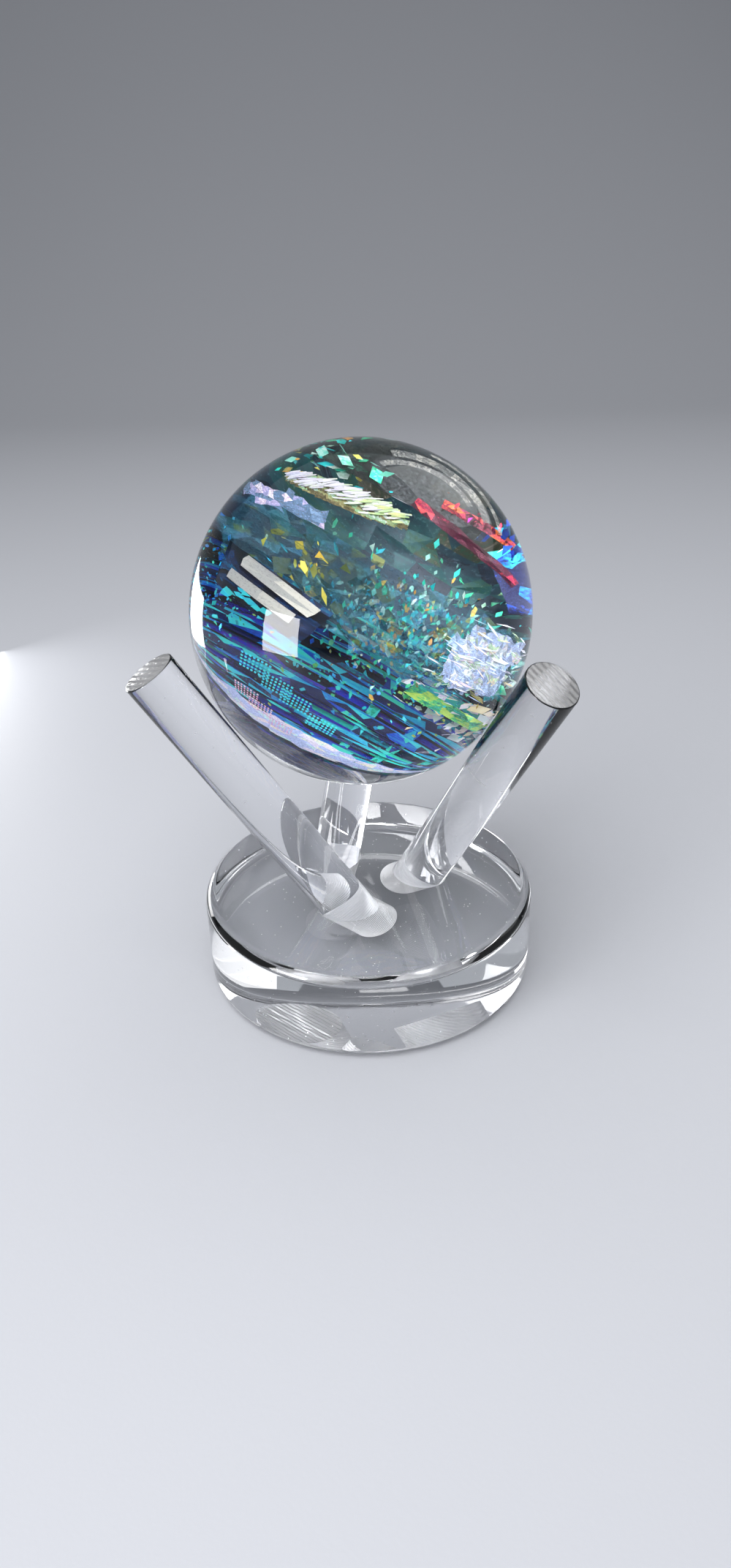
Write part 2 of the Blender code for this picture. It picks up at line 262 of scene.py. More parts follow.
def rod_radius():
    """A rod's radius: the furthest that its surface lies from its own axis."""
    place = rod_frame(RODS[0])[0].inverted()
    points = [place @ v.co for v in frame["nodes"][RODS[0]].data.vertices]
    return max(p.xy.length for p in points)


# Materials


class Recipe:
    """A material's node tree, filled in from its coordinates to its shader."""

    def __init__(self, name):
        self.material = bpy.data.materials.new(name)
        self.material.use_nodes = True
        self.tree = self.material.node_tree
        self.shader = self.tree.nodes["Principled BSDF"]

    def feed(self, node, inputs):
        for key, value in inputs.items():
            if isinstance(value, bpy.types.NodeSocket):
                self.tree.links.new(value, node.inputs[key])
            else:
                node.inputs[key].default_value = value

    def add(self, kind, inputs=None, **settings):
        node = self.tree.nodes.new("ShaderNode" + kind)
        for key, value in settings.items():
            setattr(node, key, value)
        self.feed(node, inputs or {})
        return node

    def shade(self, **inputs):
        self.feed(self.shader, {key.replace("_", " "): value for key, value in inputs.items()})

    def object_place(self, place, scale=(1, 1, 1)):
        """Object coordinates in millimetres, measured in a piece's own frame and then stretched."""
        spot, turn, _ = place.inverted().decompose()
        where = self.add("TexCoord").outputs["Object"]
        moved = self.add(
            "Mapping",
            {"Vector": where, "Location": spot, "Rotation": turn.to_euler()},
        ).outputs["Vector"]
        factor = [s / MM for s in scale]
        return self.add("Mapping", {"Vector": moved, "Scale": factor}).outputs["Vector"]

    def noise(self, vector, scale, detail=2.0, roughness=0.5):
        inputs = {"Vector": vector, "Scale": scale, "Detail": detail, "Roughness": roughness}
        return self.add("TexNoise", inputs).outputs["Fac"]

    def cell_distance(self, vector, scale):
        return self.add("TexVoronoi", {"Vector": vector, "Scale": scale}).outputs["Distance"]

    def combine(self, first, second, operation="ADD"):
        return self.add("Math", {0: first, 1: second}, operation=operation).outputs[0]

    def stretch(self, value, low, high, to_low, to_high):
        inputs = {
            "Value": value,
            "From Min": low,
            "From Max": high,
            "To Min": to_low,
            "To Max": to_high,
        }
        return self.add("MapRange", inputs).outputs["Result"]

    def ramp(self, value, stops):
        node = self.add("ValToRGB", {"Fac": value})
        row = node.color_ramp.elements
        while len(row) < len(stops):
            row.new(0.5)
        for element, (position, *colour) in zip(row, stops):
            element.position = position
            element.color = (*colour, 1)
        return node.outputs["Color"]

    def bump(self, height, strength, distance):
        inputs = {"Height": height, "Strength": strength, "Distance": distance}
        return self.add("Bump", inputs).outputs["Normal"]


def clear_resin():
    """The ball's polished resin, with faint smears on its surface."""
    recipe = Recipe("clear_resin_polished")
    where = recipe.object_place(layer_frame())
    smears = recipe.noise(where, 0.06, 5.0, 0.6)
    recipe.shade(
        Base_Color=(0.97, 0.99, 1.0, 1),
        Roughness=recipe.stretch(smears, 0.45, 0.75, 0.0, 0.025),
        IOR=bpy.context.scene.crystal_ball.refraction,
        Transmission_Weight=1.0,
    )
    return recipe.material


def acrylic(name, place, roughness, marks=None, milk=0.0):
    """Clear acrylic.

    Marks are a tool's lines: their spacing in millimetres, their depth and their direction. Milk is
    how much of it isn't clear, from 0 to 1.
    """
    recipe = Recipe(name)
    tint = bpy.context.scene.acrylic_stand.acrylic
    where = recipe.object_place(place)
    specks = recipe.cell_distance(where, 0.35)
    dust = recipe.stretch(specks, 0.05, 0.07, 0.5, 0.0)
    haze = recipe.stretch(recipe.noise(where, 0.08, 4.0), 0.4, 0.8, roughness, roughness + 0.03)
    recipe.shade(
        Base_Color=(*tint, 1),
        Roughness=recipe.combine(haze, dust, "MAXIMUM"),
        IOR=1.49,
        Transmission_Weight=1.0 - milk,
    )
    if marks:
        spacing, depth, direction = marks
        # At a scale of 1 the lines repeat every tau / 20.
        inputs = {
            "Vector": where,
            "Scale": math.tau / 20 / spacing,
            "Distortion": 1.6,
            "Detail": 3.0,
            "Detail Scale": 1.4,
        }
        lines = recipe.add("TexWave", inputs, wave_type="BANDS", bands_direction=direction)
        recipe.shade(Normal=recipe.bump(lines.outputs["Fac"], 0.7, depth))
    return recipe.material


def film(name, palette, alpha=(1.0, 1.0), metallic=0.45, roughness=0.14, streak=0.3, fleck=0.3):
    """Colour-shifting film: each facet takes its tint, and fine streaks and flecks vary it."""
    recipe = Recipe(name)
    place = layer_frame()
    facet = recipe.add("Attribute", attribute_name="tint").outputs["Fac"]
    streaks = recipe.noise(recipe.object_place(place, (0.12, 1, 1)), 0.9, 3.0)
    flecks = recipe.noise(recipe.object_place(place), 1.6, 4.0, 0.65)
    swing = recipe.combine(recipe.combine(streaks, -0.5), streak * 2, "MULTIPLY")
    sway = recipe.combine(recipe.combine(flecks, -0.5), fleck * 2, "MULTIPLY")
    tint = recipe.combine(facet, recipe.combine(swing, sway))
    colour = recipe.ramp(tint, PALETTES[palette])
    recipe.shade(
        Base_Color=colour,
        Metallic=metallic,
        Roughness=recipe.stretch(flecks, 0.3, 0.7, roughness * 0.6, roughness * 1.6),
        Normal=recipe.bump(streaks, 0.2, 0.05 * MM),
    )
    if alpha != (1.0, 1.0):
        recipe.shade(Alpha=recipe.stretch(flecks, 0.35, 0.65, *alpha))
    return recipe.material


# Geometry


def new_object(name, shape):
    """A new object in the scene, with its mesh made of a bmesh."""
    mesh = bpy.data.meshes.new(name)
    shape.to_mesh(mesh)
    shape.free()
    made = bpy.data.objects.new(name, mesh)
    bpy.context.scene.collection.objects.link(made)
    return made


def finish_piece(name, shape, body, materials, replaces=(), smooth=False, place=None):
    """Makes a piece of a bmesh, puts its place in its mesh, and ties it to its CAD body."""
    if place is not None:
        bmesh.ops.transform(shape, matrix=place, verts=shape.verts)
    piece = new_object(name, shape)
    mesh = piece.data
    for material in materials:
        mesh.materials.append(material)
    if smooth:
        mesh.shade_smooth()
        mesh.set_sharp_from_angle(angle=SHARP_ANGLE)
    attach(piece, body)
    if replaces:
        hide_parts(*replaces)
    return piece


def finish_in_ball(name, shape, materials, replaces=()):
    """Finishes a piece that was made in the ball's own frame and rides on the ball."""
    finish_piece(name, shape, "ball", materials, replaces, place=layer_frame())


def finish_film(name, shape, material, replaces, tint_of):
    """Gives an open film piece its thickness and its tints, and finishes it in the ball."""
    thicken(shape)
    tint_faces(shape, tint_of)
    finish_in_ball(name, shape, [material], replaces)


def tint_layer(shape):
    return shape.faces.layers.float.get("tint") or shape.faces.layers.float.new("tint")


def tint_faces(shape, tint_of):
    """Gives every face of a shape its tint, from a function of the face's middle."""
    layer = tint_layer(shape)
    for face in shape.faces:
        face[layer] = tint_of(face.calc_center_median())


def cell_tint(size, seed, low=0.0, high=1.0):
    """A tint that is the same all over a facet and jumps from one facet to the next."""
    seed_step = 7.3

    def tint(point):
        cell = Vector((point.x / size[0], point.y / size[1], seed * seed_step))
        return low + (high - low) * noise.cell(Vector(map(math.floor, cell)))

    return tint


def thicken(shape):
    """Gives an open film piece the film's thickness."""
    bmesh.ops.recalc_face_normals(shape, faces=shape.faces)
    thickness = bpy.context.scene.crystal_ball.film_thickness
    bmesh.ops.solidify(shape, geom=shape.faces[:], thickness=thickness)
    bmesh.ops.recalc_face_normals(shape, faces=shape.faces)


def creased_film(
    size,
    place,
    facets,
    rise,
    seed,
    turn=0.0,
    ragged=0.0,
    loose=(0.33, 0.33),
    keep=None,
    rim=None,
):
    """A film piece in its plane, creased into flat facets.

    Size is its length and width, facets how many it has each way, rise how far they stand out of
    the plane, turn its angle in the plane, ragged how uneven its edge is, loose how uneven its
    facets are each way, keep a test of the points that it covers, and rim the radius about the
    ball's axis that it is trimmed to.
    """
    dice = random.Random(seed)
    shape = bmesh.new()
    matrix = (
        Matrix.Translation(place)
        @ Matrix.Rotation(turn, 4, "Z")
        @ Matrix.Diagonal((size[0], size[1], 1, 1))
    )
    bmesh.ops.create_grid(
        shape, x_segments=facets[0], y_segments=facets[1], size=0.5, matrix=matrix
    )
    if keep:
        outside = [v for v in shape.verts if not keep(v.co)]
        bmesh.ops.delete(shape, geom=outside, context="VERTS")
    along, across = matrix.to_3x3().col[0] / facets[0], matrix.to_3x3().col[1] / facets[1]
    for vert in shape.verts:
        share = (ragged, ragged) if vert.is_boundary else loose
        vert.co += along * dice.uniform(-1, 1) * share[0] + across * dice.uniform(-1, 1) * share[1]
        vert.co.z += dice.uniform(-1, 1) * rise
        if rim and vert.co.xy.length > rim:
            vert.co.xy = vert.co.xy.normalized() * rim
    bmesh.ops.remove_doubles(shape, verts=shape.verts, dist=0.02 * MM)
    bmesh.ops.triangulate(shape, faces=shape.faces[:])
    return shape


def round_sheet(height, facets, rise, seed, ragged, covers, loose=(0.33, 0.33), margin=2 * MM):
    """The part of a round sheet at a height in the ball that a test covers, and its radius.

    Facets within a margin of its edge are kept and drawn in to it.
    """
    reach = math.sqrt(ball_radius() ** 2 - height**2) - SHEET_INSET
    size = (2.1 * reach, 2.1 * reach)
    shape = creased_film(
        size, (0, 0, height), facets, rise, seed, ragged=ragged, loose=loose, rim=reach,
        keep=lambda p: p.xy.length < reach + margin and covers(p),
    )
    return shape, reach


def strip_film(length, width, place, turn, facet_length, rise, seed):
    """A straight film strip, cut into slanted facets along its length."""
    count = max(2, round(length / facet_length))
    return creased_film((length, width), place, (count, 2), rise, seed, turn, ragged=0.04)


def add_chip(shape, place, sides, size, turn, tint):
    """One small flat chip of film with its tint. Size is half its length and half its width."""
    thickness = bpy.context.scene.crystal_ball.film_thickness
    matrix = (
        Matrix.Translation(place)
        @ turn.to_4x4()
        @ Matrix.Diagonal((size[0], size[1], thickness, 1))
    )
    layer = tint_layer(shape)
    made = bmesh.ops.create_cone(
        shape, cap_ends=True, segments=sides, radius1=1, radius2=1, depth=1, matrix=matrix
    )
    for face in {f for v in made["verts"] for f in v.link_faces}:
        face[layer] = tint


def chip_cloud(count, middle, spread, length, slender, lean, tilt, tints, seed):
    """Loose chips scattered through the resin in the ball's own frame, each with its own tint.

    Length is the range of half a chip's length and slender the range of its width as a share of
    that. The chips point at an angle lean in the plane and are tipped out of it by about tilt.
    Their tints are drawn from a range.
    """
    dice = random.Random(seed)
    shape = bmesh.new()
    limit = ball_radius() - CHIP_INSET
    made = 0
    while made < count:
        place = Vector(middle[axis] + dice.gauss(0, 1) * spread[axis] for axis in range(3))
        if place.length > limit:
            continue
        turn = (
            Matrix.Rotation(lean + dice.gauss(0, 0.25), 3, "Z")
            @ Matrix.Rotation(dice.gauss(0, tilt), 3, "X")
            @ Matrix.Rotation(dice.gauss(0, tilt), 3, "Y")
        )
        half = dice.uniform(*length)
        size = (half, half * dice.uniform(*slender))
        add_chip(shape, place, dice.choice((3, 4, 4, 5)), size, turn, dice.uniform(*tints))
        made += 1
    return shape


def turned(points, steps):
    """A closed turned body from its outline, radius and height pairs from the Z axis back to it."""
    shape = bmesh.new()
    verts = [shape.verts.new((x, 0, z)) for x, z in points]
    for pair in zip(verts, verts[1:]):
        shape.edges.new(pair)
    bmesh.ops.spin(
        shape,
        geom=shape.verts[:] + shape.edges[:],
        cent=(0, 0, 0),
        axis=(0, 0, 1),
        angle=math.tau,
        steps=steps,
        use_merge=True,
    )
    bmesh.ops.remove_doubles(shape, verts=shape.verts, dist=0.001 * MM)
    bmesh.ops.recalc_face_normals(shape, faces=shape.faces)
    return shape


def arc(centre, radius, start, end, steps):
    """Points on an arc in the XZ plane, with angles in degrees from the X axis."""
    angles = [math.radians(start + (end - start) * i / steps) for i in range(steps + 1)]
    return [(centre[0] + radius * math.cos(a), centre[1] + radius * math.sin(a)) for a in angles]


# The ball


class CRYSTALBALL_OT_resin(bpy.types.Operator):
    """Make the ball's clear resin, ground and polished as one over all its layers"""

    bl_idname = "crystal_ball.resin"
    bl_label = "Clear Resin"

    def execute(self, context):
        radius = ball_radius()
        outline = [(0, radius)] + arc((0, 0), radius, 90, -90, 128)[1:-1] + [(0, -radius)]
        shape = turned(outline, 192)
        finish_piece(
            "ball_resin", shape, "ball", [clear_resin()],
            BALL_LAYERS, smooth=True, place=layer_frame(),
        )
        return {"FINISHED"}


def points_of(node):
    """A CAD film piece's corners and their middle, in the ball's frame."""
    back = layer_frame().inverted()
    points = [back @ v.co for v in frame["nodes"][node].data.vertices]
    return points, sum(points, Vector()) / len(points)


def outline_of(node):
    """A flat CAD film piece's middle, its length, its width and its turn, in the ball's frame."""
    back = layer_frame().inverted()
    points, centre = points_of(node)
    longest = max((e.dot(e), tuple(e)) for e in edge_vectors(node, back))[1]
    turn = math.atan2(longest[1], longest[0])
    spread = [Matrix.Rotation(-turn, 3, "Z") @ (p - centre) for p in points]
    size = [2 * max(abs(p[axis]) for p in spread) for axis in range(2)]
    return centre, size[0], size[1], turn


def edge_vectors(node, back):
    """The sides of a rectangular CAD film piece, without the diagonals of its triangles."""
    mesh = frame["nodes"][node].data
    for polygon in mesh.polygons:
        corners = [back @ mesh.vertices[i].co for i in polygon.vertices]
        sides = [b - a for a, b in zip(corners, corners[1:] + corners[:1])]
        if abs(polygon.normal.dot(back.to_3x3().row[2])) > 0.9:
            yield from sorted(sides, key=lambda side: side.length)[:2]


def strip_over(node, facet_length, rise, seed):
    """A film strip in the place of a CAD strip, and of its size."""
    centre, length, width, turn = outline_of(node)
    return strip_film(length, width, centre, turn, facet_length, rise, seed)


class CRYSTALBALL_OT_lattice(bpy.types.Operator):
    """Make the long, crossing and low film strips and the dark sheet under them"""

    bl_idname = "crystal_ball.lattice"
    bl_label = "Strip Lattice"

    def execute(self, context):
        cyan = film("cyan_film_strips", "cyan", metallic=0.3, streak=0.16, fleck=0.12)
        self.make_strips("film_long_strip", "long_strips", "cyan_film", cyan, 5.5 * MM, 0.35)
        self.make_strips("film_cross_strip", "cross_strips", "cyan_film", cyan, 6 * MM, 0.52)
        rim = film("violet_film_strips", "violet", roughness=0.2, metallic=0.15)
        self.make_strips("film_low_strip", "low_strips", "violet_film", rim, 5 * MM, 0.5)
        self.make_fine_strips(cyan)
        self.make_sheet()
        self.make_rim_veils()
        self.make_painted_led_reflections()
        return {"FINISHED"}

    def make_painted_led_reflections(self):
        """Patches of dots in rows on the film over the lattice's near half, a painted LED
        reflection.
        """
        # The dots are painted reflections of a lamp's rows of LEDs, in cyan and in pink.
        blue = film("cyan_film_painted_led_reflection", "cyan", metallic=0.0, streak=0.05, fleck=0.05)
        pink = film("pink_film_painted_led_reflection", "violet", metallic=0.1, streak=0.05, fleck=0.1)
        columns, rows = 8, 5
        column_pitch, row_pitch = 0.85, 1.6
        half_size = (0.30 * MM, 0.50 * MM)
        height = LATTICE_PLANE + 3 * FILM_STEP
        # Each dot paints the reflection of one of the lamp's LEDs.
        for name, slot, material, patches, tints in (
            ("cyan_painted_led_reflection", "cyan_film", blue, ((-13, -5), (-7.6, -9), (-3, -12), (4, -17)),
             (0.36, 0.5)),
            ("pink_painted_led_reflection", "violet_film", pink, ((-14, -23), (-10, -28), (-4, -35)), (0.62, 0.8)),
        ):
            dice = random.Random(73)
            shape = bmesh.new()
            for x, y in patches:
                bend = dice.uniform(-0.02, 0.02)
                for row in range(rows):
                    for column in range(columns):
                        along = column - columns // 2
                        across = (row - rows // 2) * row_pitch + bend * along**2
                        place = Vector(
                            (x * MM + along * column_pitch * MM, y * MM + across * MM, height)
                        )
                        tint = dice.uniform(*tints)
                        add_chip(shape, place, 6, half_size, Matrix.Identity(3), tint)
            finish_in_ball(name, shape, [material])

    def make_strips(self, nodes, name, slot, material, facet_length, middle_tint):
        for number, node in enumerate(sorted(n for n in frame["nodes"] if n.startswith(nodes)), 1):
            shape = strip_over(node, facet_length, 0.05 * MM, number)
            tint = self.strip_tint(number, middle_tint)
            finish_film(f"{name}_{number}", shape, material, [node], tint)

    def strip_tint(self, number, middle):
        """Bluer at the strips' left ends, greener at their right, and uneven along them."""
        cells = cell_tint((4.1 * MM, 1.3 * MM), number, -0.24, 0.24)
        slope = 0.2 / ball_radius()
        return lambda point: middle + cells(point) + slope * point.x

    def make_fine_strips(self, material):
        shape = bmesh.new()
        spacing, width = 6 * MM, 1.2 * MM
        height = LATTICE_PLANE + FILM_STEP / 2
        for number in range(-6, 6):
            offset = (number + 0.5) * spacing
            reach = math.sqrt(ball_radius() ** 2 - height**2 - offset**2) - 4 * MM
            strip = strip_film(
                2 * reach, width, (0, offset, height), 0, 4 * MM, 0.03 * MM, number + 80
            )
            mesh = bpy.data.meshes.new("fine_strip")
            strip.to_mesh(mesh)
            strip.free()
            shape.from_mesh(mesh)
        finish_film("fine_strips", shape, material, [], self.strip_tint(9, 0.42))

    def make_sheet(self):
        """The dark sheet under the strips, indigo as far as a line and teal beyond it."""
        far_edge, teal_from = 42 * MM, 25 * MM
        reach = math.sqrt(ball_radius() ** 2 - LATTICE_PLANE**2) - SHEET_INSET
        shape = creased_film(
            (2.1 * reach, 2.1 * reach), (0, 0, LATTICE_PLANE - FILM_STEP), (23, 40), 0.04 * MM, 3,
            ragged=0.1, loose=(0.4, 0.02), rim=reach,
            keep=lambda p: p.xy.length < reach + 2 * MM and p.y < far_edge,
        )
        thicken(shape)
        tint_faces(shape, cell_tint((9 * MM, 2.41 * MM), 2, 0.16, 0.98))
        for face in shape.faces:
            face.material_index = int(face.calc_center_median().y > teal_from)
        materials = [
            film("indigo_film_sheet", "indigo", metallic=0.4, roughness=0.14),
            film("indigo_film_sheet_far", "teal", metallic=0.4, roughness=0.2),
        ]
        finish_in_ball("indigo_sheet", shape, materials, ["film_indigo_sheet"])

    def make_rim_veils(self):
        """Pale film at the near edge of the lattice and under it, round the ball's lower rim."""
        material = film("pale_film_rim", "shell", metallic=0.05, roughness=0.25)
        for name, height, edge in (
            ("rim_veil_upper", LATTICE_PLANE + 2 * FILM_STEP, -24 * MM),
            ("rim_veil_lower", LOW_PLANE - FILM_STEP, 14 * MM),
            ("rim_veil_bottom", LOW_PLANE - 8 * MM, 40 * MM),
        ):
            shape, _ = round_sheet(
                height, (32, 32), 0.15 * MM, 71, 0.6, lambda p: p.y < edge, margin=1.5 * MM
            )
            tint = cell_tint((3.4 * MM, 1.6 * MM), 72)
            finish_film(name, shape, material, [], tint)


class CRYSTALBALL_OT_backing(bpy.types.Operator):
    """Make the teal and olive sheets behind the chips and the navy patch with its grey strips"""

    bl_idname = "crystal_ball.backing"
    bl_label = "Dark Backing"

    def execute(self, context):
        self.make_teal_sheet()
        self.make_olive_sheet()
        self.make_patch()
        return {"FINISHED"}

    def far_sheet(self, height, near_edge, seed, right_edge=1.0, slant=0.0):
        """The part of a round sheet beyond a straight edge, and the sheet's radius.

        Its right edge lies at right_edge, and moves to the left by slant times the distance back.
        """
        return round_sheet(
            height, (28, 32), 0.08 * MM, seed, 0.15,
            lambda p: p.y > near_edge and p.x + slant * (p.y - near_edge) < right_edge,
        )

    def make_teal_sheet(self):
        shape, reach = self.far_sheet(CHIP_PLANE - FILM_STEP, 16 * MM, 5)
        cells = cell_tint((2.7 * MM, 3.4 * MM), 12, -0.22, 0.22)
        olive_from = 33 * MM

        def tint(point):
            far = max(0.0, point.y - olive_from) / (reach - olive_from)
            return 0.36 + cells(point) + 0.5 * min(far, 1.0)

        material = film("teal_film_sheet", "teal", metallic=0.4, roughness=0.2)
        finish_film("teal_sheet", shape, material, ["film_teal_sheet"], tint)

    def make_olive_sheet(self):
        near_edge = 14 * MM
        shape, reach = self.far_sheet(FEATHER_PLANE - FILM_STEP, near_edge, 7, 18 * MM, 0.4)
        cells = cell_tint((8 * MM, 2.6 * MM), 17, -0.16, 0.16)
        span = reach - near_edge
        material = film("olive_film_sheet", "olive", (0.35, 0.75), metallic=0.2, roughness=0.25)
        finish_film(
            "olive_sheet", shape, material, ["film_olive_sheet"],
            lambda point: 0.2 + cells(point) + 0.7 * (point.y - near_edge) / span,
        )

    def make_patch(self):
        centre, length, width, turn = outline_of("film_navy_patch")
        shape = creased_film((length, width), centre, (10, 9), 0.04 * MM, 6, turn, 0.04, (0.3, 0.03))
        material = film("navy_film_patch", "navy", roughness=0.12)
        tint = cell_tint((6 * MM, 2.45 * MM), 14, 0.0, 0.7)
        finish_film("navy_patch", shape, material, ["film_navy_patch"], tint)
        grey = film("grey_film_strips", "grey", metallic=0.0, roughness=0.3, fleck=0.1)
        for number in (1, 2):
            node = f"film_grey_strip_{number}"
            shape = strip_over(node, 9 * MM, 0.1 * MM, 15 + number)
            tint = cell_tint((8 * MM, 9 * MM), number, 0.35, 0.9)
            finish_film(f"grey_strip_{number}", shape, grey, [node], tint)


class CRYSTALBALL_OT_veils(bpy.types.Operator):
    """Make the smoky, lavender and crumpled pieces of thin wrinkled film"""

    bl_idname = "crystal_ball.veils"
    bl_label = "Wrinkled Film"

    def execute(self, context):
        self.veil("smoky_veil", "film_smoky_sheet", "smoky", (22, 13), 0.35, (0.10, 0.38), 21)
        self.veil("lavender_veil", "film_lavender", "lavender", (16, 6), 0.3, (0.55, 1.0), 22)
        self.veil("crumpled_veil", "film_crumpled", "pearl", (13, 20), 0.6, (0.30, 0.85), 23)
        return {"FINISHED"}

    def veil(self, name, node, palette, facets, rise, alpha, seed):
        """A wrinkled piece with a torn outline: a blunt oval that noise pushes in and out."""
        centre, length, width, turn = outline_of(node)
        back = Matrix.Rotation(-turn, 3, "Z")

        def inside(point):
            spot = back @ (point - centre)
            out = (2 * abs(spot.x) / length) ** 4 + (2 * abs(spot.y) / width) ** 4
            return out < 1.1 + 0.9 * noise.noise(point / (3.5 * MM))

        shape = creased_film(
            (length, width), centre, facets, rise * MM, seed, turn, 0.45, keep=inside
        )
        material = film(f"{palette}_film_veil", palette, alpha, metallic=0.15, roughness=0.2)
        tint = cell_tint((2.1 * MM, 1.7 * MM), seed)
        finish_film(name, shape, material, [node], tint)


class CRYSTALBALL_OT_feather(bpy.types.Operator):
    """Make the feather-like flake, a row of narrow overlapping barbs of pearly film"""

    bl_idname = "crystal_ball.feather"
    bl_label = "Feather Flake"

    def execute(self, context):
        length, width, turn = 28 * MM, 8 * MM, math.radians(8)
        middle = Vector((-14 * MM, 6.5 * MM, FEATHER_PLANE))
        place = Matrix.Translation(middle) @ Matrix.Rotation(turn, 4, "Z")
        self.make_barbs(length, width, turn, place)
        self.make_blade(length, width, place)
        return {"FINISHED"}

    def make_barbs(self, length, width, turn, place):
        count, barb_lean = 150, math.radians(31)
        dice = random.Random(31)
        shape = bmesh.new()
        for _ in range(count):
            along = dice.uniform(-0.46, 0.44)
            across = dice.triangular(-0.30, 0.46, 0.36)
            spot = Vector((along * length, across * width * leaf_width(along), 0))
            spot.z = dice.uniform(0.1, 0.5) * MM
            lean = (
                Matrix.Rotation(turn + barb_lean + dice.gauss(0, 0.07), 3, "Z")
                @ Matrix.Rotation(dice.gauss(0, 0.14), 3, "X")
            )
            half_size = (dice.uniform(1.4, 2.7) * MM, dice.uniform(0.16, 0.42) * MM)
            tint = 0.45 + 0.5 * along + dice.uniform(-0.2, 0.25)
            add_chip(shape, place @ spot, 6, half_size, lean, tint)
        pearl = film("pearl_film_barbs", "barb", metallic=0.0, roughness=0.2, streak=0.1, fleck=0.1)
        finish_in_ball("feather_barbs", shape, [pearl])

    def make_blade(self, length, width, place):
        """The leaf-shaped piece of film that the barbs lie on."""
        back = place.inverted()

        def inside(point):
            spot = back @ point
            return abs(spot.y) < width / 2 * leaf_width(spot.x / length)

        shape = creased_film(
            (length, width), place.translation, (56, 16), 0.06 * MM, 32, place.to_euler().z,
            ragged=0.2, keep=inside,
        )
        cells = cell_tint((2.2 * MM, 0.7 * MM), 33, -0.2, 0.2)
        opal = film("opal_film_blade", "opal", (0.8, 1.0), metallic=0.05, roughness=0.2)
        finish_film(
            "feather_flake", shape, opal, ["film_feather"],
            lambda point: 0.5 + cells(point) + 0.5 * (back @ point).y / width,
        )


def leaf_width(along):
    """A blunt leaf's width as a share of its widest, at a share of its length from its middle."""
    return math.sin(math.pi * (0.5 + 0.84 * along)) ** 0.6


class CRYSTALBALL_OT_ribbons(bpy.types.Operator):
    """Make the pink ribbons, the blue edge piece, the lime strip and the bands that paint the cap's
    reflections
    """

    bl_idname = "crystal_ball.ribbons"
    bl_label = "Ribbons"

    def execute(self, context):
        pink = film("pink_film_ribbon", "pink", (0.6, 1.0), roughness=0.1)
        blue = film("blue_film_edge", "cyan", (0.7, 1.0), roughness=0.1)
        for name, node, slot, material, tints, seed in (
            ("ribbon_wide", "film_ribbon_wide", "pink_film", pink, (0.0, 0.62), 41),
            ("ribbon_narrow", "film_ribbon_narrow", "pink_film", pink, (0.4, 0.9), 42),
            ("blue_edge", "film_blue_edge", "cyan_film", blue, (0.05, 0.5), 43),
        ):
            shape = strip_over(node, 2.5 * MM, 0.2 * MM, seed)
            tint = cell_tint((3 * MM, 1 * MM), seed, *tints)
            finish_film(name, shape, material, [node], tint)
        lime = film("lime_film_strip", "cyan", (0.8, 1.0), roughness=0.1)
        shape = strip_film(
            20 * MM, 6 * MM, (25 * MM, -2 * MM, CHIP_PLANE + FILM_STEP), -0.1, 3 * MM, 0.15 * MM, 44
        )
        tint = cell_tint((2.4 * MM, 1 * MM), 44, 0.84, 1.0)
        finish_film("lime_strip", shape, lime, [], tint)
        self.make_painted_cap_reflection()
        return {"FINISHED"}

    def make_painted_cap_reflection(self):
        """Pale curved bands of thin film under the top of the ball that paint the reflections
        swooping round its cap, in millimetres and degrees.
        """
        shape = bmesh.new()
        for radius, width, start, sweep, height in (
            (13.5, 1.6, 48, 96, 30.0),
            (16.5, 2.4, 34, 92, 29.4),
            (20.5, 1.2, 28, 70, 29.0),
        ):
            turn = Matrix.Rotation(math.radians(start), 4, "Z")
            ends = [turn @ Vector((radius + side, 0, height)) * MM for side in (0, width)]
            verts = [shape.verts.new(end) for end in ends]
            edge = shape.edges.new(verts)
            bmesh.ops.spin(
                shape, geom=verts + [edge], cent=(0, 0, 0), axis=(0, 0, 1),
                angle=math.radians(sweep), steps=20,
            )
        # The grey, part-clear bands are a painted reflection on the ball's cap.
        material = film("grey_film_painted_cap_reflection", "grey", (0.05, 0.6), metallic=0.1, roughness=0.25)
        tint = cell_tint((1.5 * MM, 6 * MM), 45, 0.2, 1.0)
        finish_film("cap_painted_reflection", shape, material, [], tint)


class Cloud(NamedTuple):
    """A cloud of loose chips, as chip_cloud takes it, in millimetres and with lean in degrees."""

    palette: str
    slot: str
    count: int
    middle: tuple
    spread: tuple
    length: tuple
    slender: tuple
    lean: float
    tilt: float
    tints: tuple


